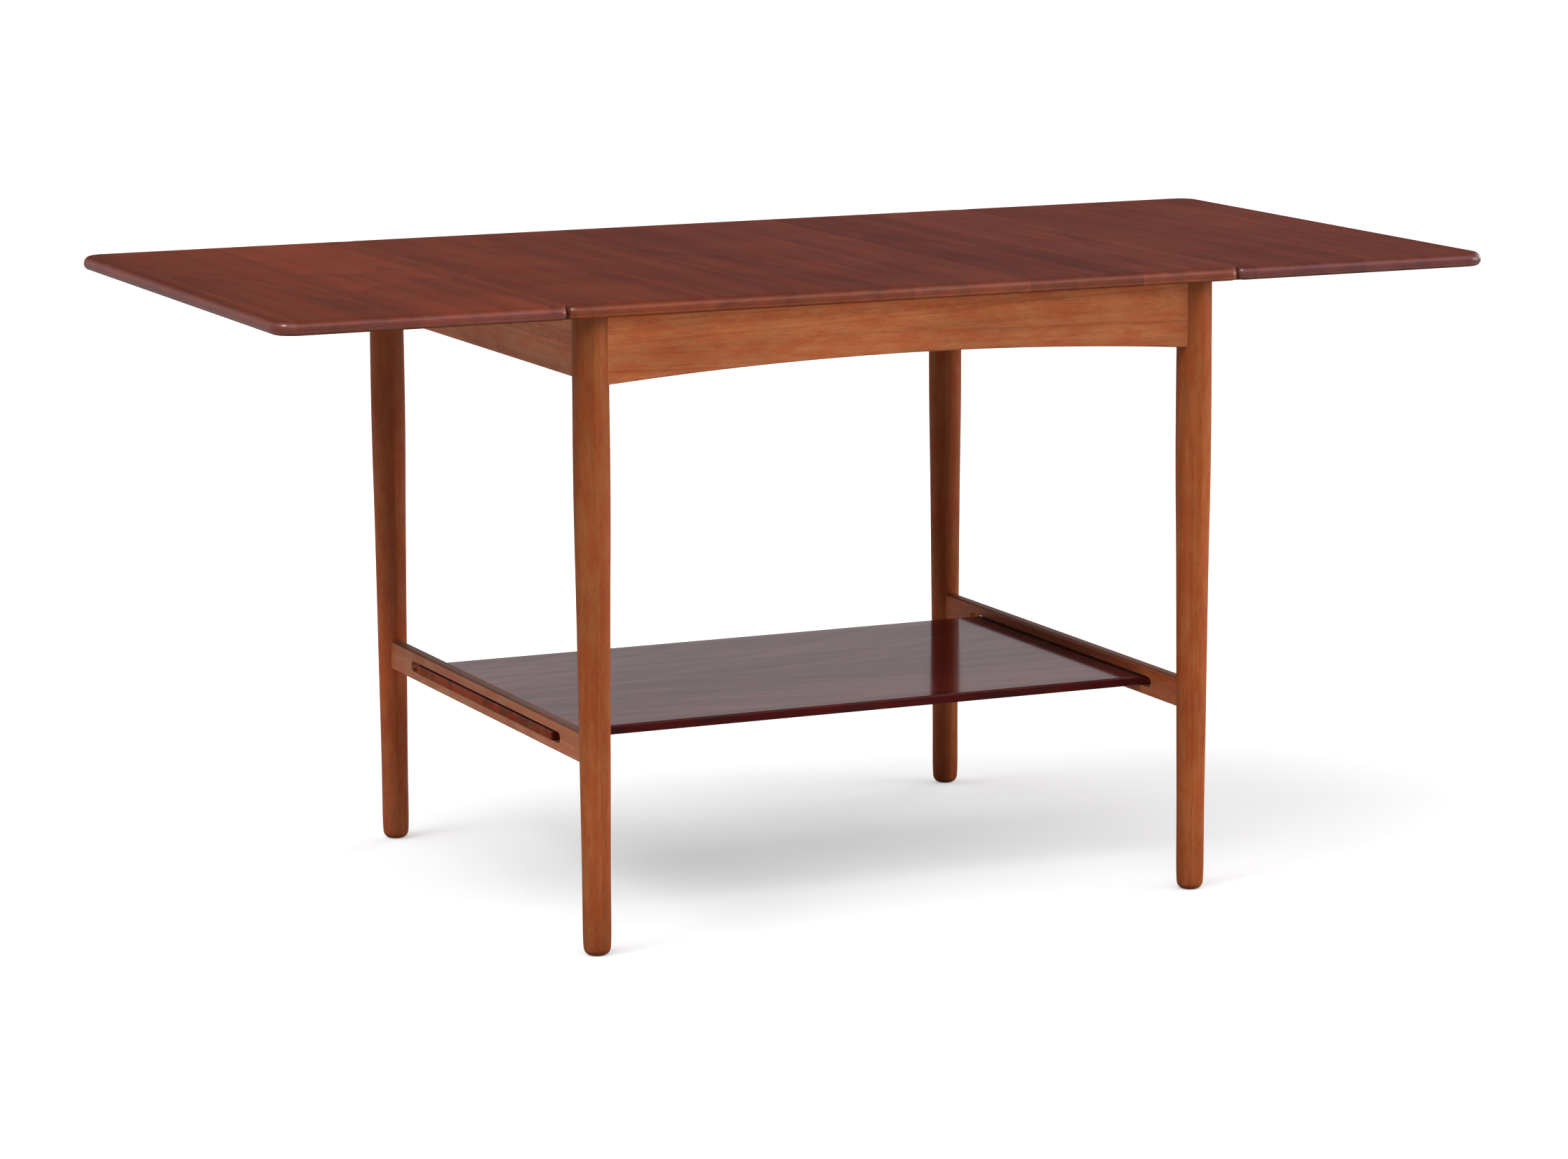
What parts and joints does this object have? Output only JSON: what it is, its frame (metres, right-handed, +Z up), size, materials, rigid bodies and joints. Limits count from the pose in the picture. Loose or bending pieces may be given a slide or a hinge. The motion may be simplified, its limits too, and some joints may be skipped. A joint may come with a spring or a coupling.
{
  "type": "drop leaf coffee table",
  "caption": "Low table with a fixed middle, drop leaves at both ends carried by pull-out slides, turned legs and a low shelf lying in slotted stretchers.",
  "frame": {"origin": "on the floor, under the middle of the top", "axes": "+X along the length to the right leaf, +Y to the back, +Z up"},
  "size_m": [1.22, 0.6, 0.6],
  "materials": {
    "teak": "oiled teak, satin",
    "oak": "aged oak, satin",
    "brass": "dull brass",
    "steel": "plain steel"
  },
  "bodies": {
    "frame": {"apron_left": "oak", "rail_left": "oak", "stretcher_left": "oak", "leg_left_front": "oak", "hinge_fixed_left_front": "brass", "hinge_pin_left_front": "brass", "leg_left_back": "oak", "hinge_fixed_left_back": "brass", "hinge_pin_left_back": "brass", "apron_right": "oak", "rail_right": "oak", "stretcher_right": "oak", "leg_right_front": "oak", "hinge_fixed_right_front": "brass", "hinge_pin_right_front": "brass", "leg_right_back": "oak", "hinge_fixed_right_back": "brass", "hinge_pin_right_back": "brass", "apron_front": "oak", "apron_back": "oak", "top_centre": "teak", "shelf": "teak", "batten_middle": "oak", "hinge_screws_centre": "brass", "top_screws": "steel", "batten_screws": "steel", "shelf_screws": "steel"},
    "left_leaf": {"leaf_left": "teak", "hinge_screws_leaf_left": "brass", "hinge_leaf_left_front": "brass", "hinge_leaf_left_back": "brass"},
    "left_front_loper": {"loper_left_front": "oak", "loper_stop_left_front": "oak"},
    "left_back_loper": {"loper_left_back": "oak", "loper_stop_left_back": "oak"},
    "right_leaf": {"leaf_right": "teak", "hinge_screws_leaf_right": "brass", "hinge_leaf_right_front": "brass", "hinge_leaf_right_back": "brass"},
    "right_front_loper": {"loper_right_front": "oak", "loper_stop_right_front": "oak"},
    "right_back_loper": {"loper_right_back": "oak", "loper_stop_right_back": "oak"}
  },
  "joints": [
    {"name": "left_leaf_hinge", "type": "hinge", "parent": "frame", "child": "left_leaf", "pos_m": [-0.338, 0, 0.587], "axis": [0, 1, 0], "range_deg": [-90, 0]},
    {"name": "left_front_loper_slide", "type": "slide", "parent": "frame", "child": "left_front_loper", "axis": [-1, 0, 0], "range_m": [0, 0.19]},
    {"name": "left_back_loper_slide", "type": "slide", "parent": "frame", "child": "left_back_loper", "axis": [-1, 0, 0], "range_m": [0, 0.19]},
    {"name": "right_leaf_hinge", "type": "hinge", "parent": "frame", "child": "right_leaf", "pos_m": [0.338, 0, 0.587], "axis": [0, -1, 0], "range_deg": [-90, 0]},
    {"name": "right_front_loper_slide", "type": "slide", "parent": "frame", "child": "right_front_loper", "axis": [1, 0, 0], "range_m": [0, 0.19]},
    {"name": "right_back_loper_slide", "type": "slide", "parent": "frame", "child": "right_back_loper", "axis": [1, 0, 0], "range_m": [0, 0.19]}
  ]
}
